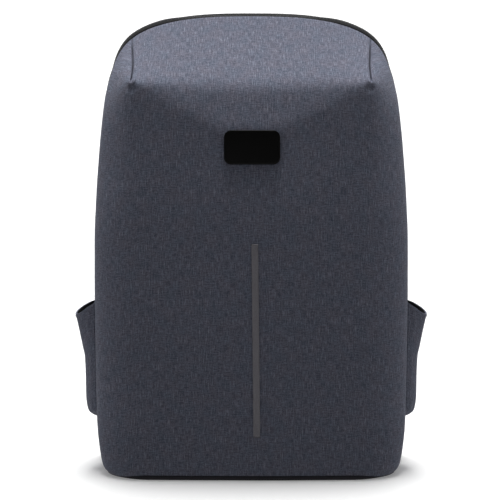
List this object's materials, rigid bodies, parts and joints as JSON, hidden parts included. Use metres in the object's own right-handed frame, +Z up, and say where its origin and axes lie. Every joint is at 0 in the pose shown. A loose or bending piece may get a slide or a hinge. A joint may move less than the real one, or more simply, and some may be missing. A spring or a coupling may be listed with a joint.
{
  "type": "laptop backpack",
  "caption": "Structured laptop backpack in blue-grey melange cloth with a sloping darted top, side pockets, blank front plate, reflective strip, padded back and shoulder straps.",
  "frame": {"origin": "on the floor under the middle of the bag's box", "axes": "+Z up, the front faces -Y and the straps +Y, +X to the right seen from the front"},
  "size_m": [0.3492, 0.2022, 0.4499],
  "materials": {
    "shell_cloth": "blue-grey melange polyester",
    "black_cloth": "black woven polyester",
    "padded_cloth": "black air mesh over foam",
    "gloss_plate": "black gloss, bare",
    "matt_plastic": "black moulded",
    "reflective_tape": "warm grey reflective tape"
  },
  "bodies": {
    "root": {"main_shell": "shell_cloth", "zip_gusset": "black_cloth", "zip_chain": "matt_plastic", "zip_slider": "matt_plastic", "base_panel": "black_cloth", "back_panel": "padded_cloth", "front_plate": "gloss_plate", "reflective_strip": "reflective_tape", "grab_handle": "black_cloth", "side_pocket_left": "shell_cloth", "side_pocket_right": "shell_cloth", "shoulder_strap_left": "padded_cloth", "shoulder_strap_right": "padded_cloth", "strap_buckle_left": "matt_plastic", "strap_buckle_right": "matt_plastic", "strap_webbing_left": "black_cloth", "strap_webbing_right": "black_cloth"}
  },
  "joints": []
}
